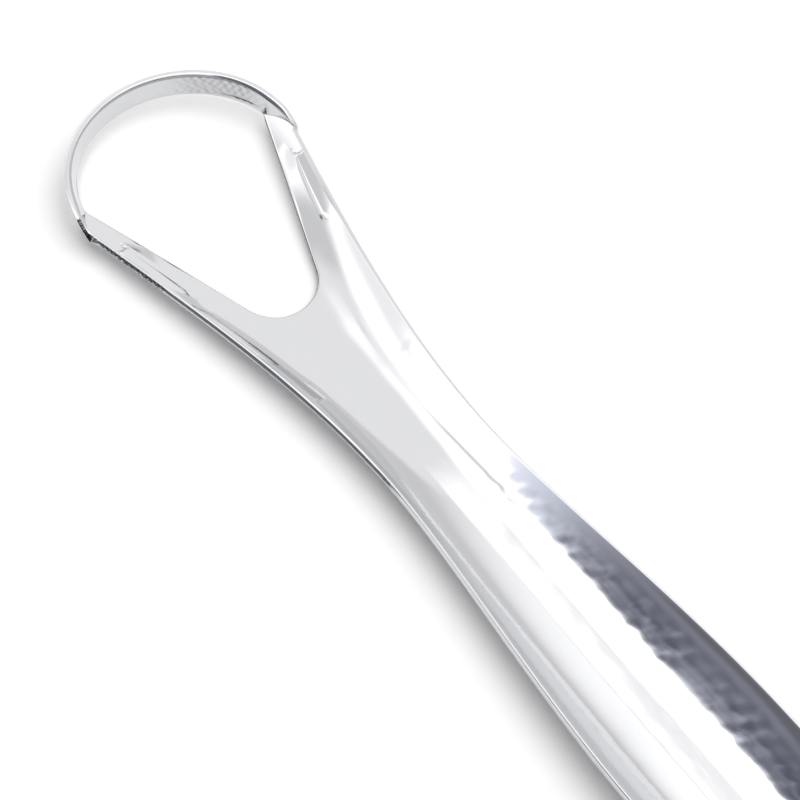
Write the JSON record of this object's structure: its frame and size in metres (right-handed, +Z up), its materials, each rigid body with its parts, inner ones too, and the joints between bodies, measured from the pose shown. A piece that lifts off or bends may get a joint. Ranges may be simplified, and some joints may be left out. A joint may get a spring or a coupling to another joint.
{
  "type": "tongue scraper",
  "caption": "Polished steel tongue scraper: a trough-shaped handle that forks round an opening, closed in front by an upright curved band that scrapes.",
  "frame": {"origin": "middle of the base: centre of the outline in plan, at the height of the surface that it lies on", "axes": "+X from the scraping head along the handle to its rounded end, +Y across, +Z up out of the open side of the trough"},
  "size_m": [0.15, 0.0332, 0.0062],
  "materials": {
    "polished_steel": "polished stainless steel, mirror-like, lightly rippled from pressing"
  },
  "bodies": {
    "root": {"handle": "polished_steel", "scraper_band": "polished_steel"}
  },
  "joints": []
}
